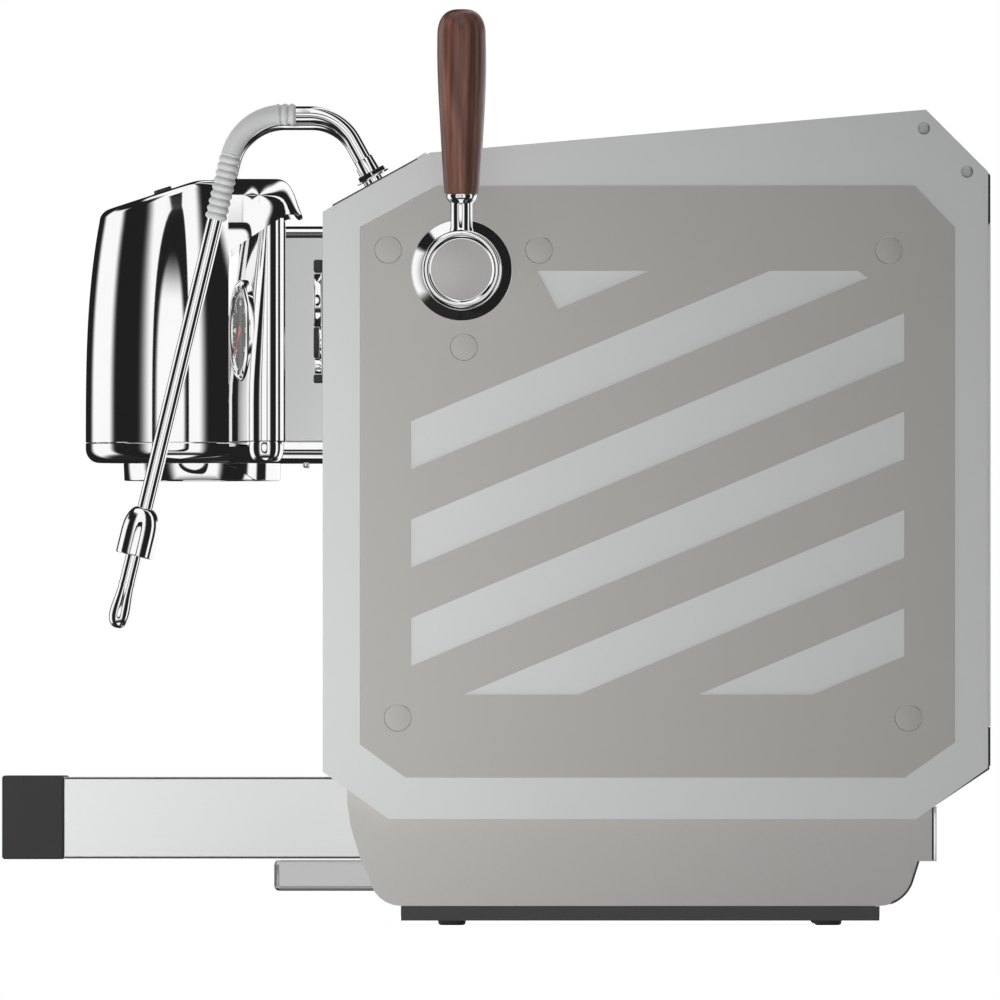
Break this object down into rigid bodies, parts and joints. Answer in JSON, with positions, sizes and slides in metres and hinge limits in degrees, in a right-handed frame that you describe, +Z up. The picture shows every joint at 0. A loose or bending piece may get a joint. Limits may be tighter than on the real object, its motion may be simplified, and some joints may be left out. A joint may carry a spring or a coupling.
{
  "type": "espresso machine",
  "caption": "One-group espresso machine with octagonal slatted side panels, chromed group head, side steam lever with wooden handle, swivelling wand and sliding drip tray.",
  "frame": {"origin": "centre of the footprint box on the surface that the feet stand on", "axes": "+Z up, -Y towards the operator, +X the operator's right, where the steam wand is"},
  "size_m": [0.4464, 0.6, 0.5555],
  "materials": {
    "silver_panel": "satin bead-blasted anodising",
    "warm_grey_panel": "fine matte powder coat",
    "base_grey": "fine matte powder coat",
    "chrome": "polished",
    "neck_grey": "satin",
    "tray_silver": "satin brushed",
    "black_plastic": "fine texture",
    "dark_metal": "satin",
    "rubber": "matte",
    "silicone": "soft matte",
    "walnut": "oiled",
    "gauge": "black dial in a chromed bezel",
    "needle": "matte",
    "steel": "satin",
    "brass": "machined"
  },
  "bodies": {
    "root": {"base_shell": "base_grey", "boiler": "steel", "chassis_frame": "steel", "control_box": "black_plastic", "control_plate": "black_plastic", "drain_box": "steel", "foot_front_left": "rubber", "foot_front_right": "rubber", "foot_rail_left": "dark_metal", "foot_rail_right": "dark_metal", "foot_rear_left": "rubber", "foot_rear_right": "rubber", "front_panel": "silver_panel", "gauge_case_left": "gauge", "gauge_case_right": "gauge", "gauge_housing": "chrome", "group_body": "brass", "group_cover": "chrome", "group_gasket": "rubber", "group_ring": "chrome", "head_base": "chrome", "head_hood": "chrome", "heating_element": "brass", "inset_panel_left": "warm_grey_panel", "inset_panel_right": "warm_grey_panel", "mains_inlet": "black_plastic", "neck_cover": "neck_grey", "pump": "brass", "pump_motor": "dark_metal", "rear_panel": "silver_panel", "rear_trim_bottom": "black_plastic", "rear_trim_top": "black_plastic", "shower_screen": "steel", "side_plate_left": "silver_panel", "side_plate_right": "silver_panel", "slope_panel": "dark_metal", "steam_lever_flange": "chrome", "steam_valve": "brass", "top_panel": "silver_panel", "wand_nut": "chrome", "water_lever_flange": "chrome", "water_valve": "brass"},
    "drip_tray": {"tray_body": "tray_silver", "tray_pan": "black_plastic", "tray_fascia": "black_plastic"},
    "grate": {"tray_grate": "steel"},
    "steam_lever": {"steam_lever_hub": "chrome", "steam_lever_handle": "walnut"},
    "water_lever": {"water_lever_hub": "chrome", "water_lever_handle": "walnut"},
    "wand": {"wand_pipe": "chrome", "wand_sleeve": "silicone", "wand_bell": "chrome", "wand_tip": "chrome"},
    "spout": {"spout_pipe": "chrome"},
    "brew_key": {"brew_button": "black_plastic"},
    "power_key": {"power_button": "black_plastic"},
    "thermostat_knob": {"temperature_knob": "chrome"},
    "boiler_needle": {"gauge_needle_right": "needle"},
    "pump_needle": {"gauge_needle_left": "needle"}
  },
  "joints": [
    {"name": "steam_lever_turn", "type": "hinge", "parent": "root", "child": "steam_lever", "pos_m": [0.2085, -0.0209, 0.3975], "axis": [1, 0, 0], "range_deg": [0, 38]},
    {"name": "water_lever_turn", "type": "hinge", "parent": "root", "child": "water_lever", "pos_m": [-0.2085, -0.0209, 0.3975], "axis": [1, 0, 0], "range_deg": [0, 38]},
    {"name": "wand_swivel", "type": "hinge", "parent": "root", "child": "wand", "pos_m": [0.15, -0.0737, 0.453], "axis": [0, -0.4829, 0.8757], "range_deg": [-8, 60]},
    {"name": "spout_swivel", "type": "hinge", "parent": "root", "child": "spout", "pos_m": [-0.15, -0.0737, 0.453], "axis": [0, -0.4829, 0.8757], "range_deg": [-60, 8]},
    {"name": "brew_press", "type": "slide", "parent": "root", "child": "brew_key", "axis": [0, 0.3046, -0.9525], "range_m": [0, 0.0015], "stiffness_N_per_m": 300, "springref_m": -0.003},
    {"name": "power_press", "type": "slide", "parent": "root", "child": "power_key", "axis": [0, 1, 0], "range_m": [0, 0.001], "stiffness_N_per_m": 300, "springref_m": -0.002},
    {"name": "thermostat_turn", "type": "hinge", "parent": "root", "child": "thermostat_knob", "pos_m": [0.135, -0.1083, 0.3797], "axis": [0, -1, 0], "range_deg": [-140, 140]},
    {"name": "boiler_needle_turn", "type": "hinge", "parent": "root", "child": "boiler_needle", "pos_m": [0.088, -0.15528, 0.3619], "axis": [0.1923, -0.9813, 0], "range_deg": [-270, 0], "stiffness_Nm_per_rad": 0.0005, "springref_deg": 17.19},
    {"name": "pump_needle_turn", "type": "hinge", "parent": "root", "child": "pump_needle", "pos_m": [-0.088, -0.15528, 0.3619], "axis": [-0.1923, -0.9813, 0], "range_deg": [-270, 0], "stiffness_Nm_per_rad": 0.0005, "springref_deg": 17.19},
    {"name": "tray_slide", "type": "slide", "parent": "root", "child": "drip_tray", "axis": [0, -1, 0], "range_m": [0, 0.16]},
    {"name": "grate_lift", "type": "slide", "parent": "drip_tray", "child": "grate", "axis": [0, 0, 1], "range_m": [0, 0.03]}
  ]
}
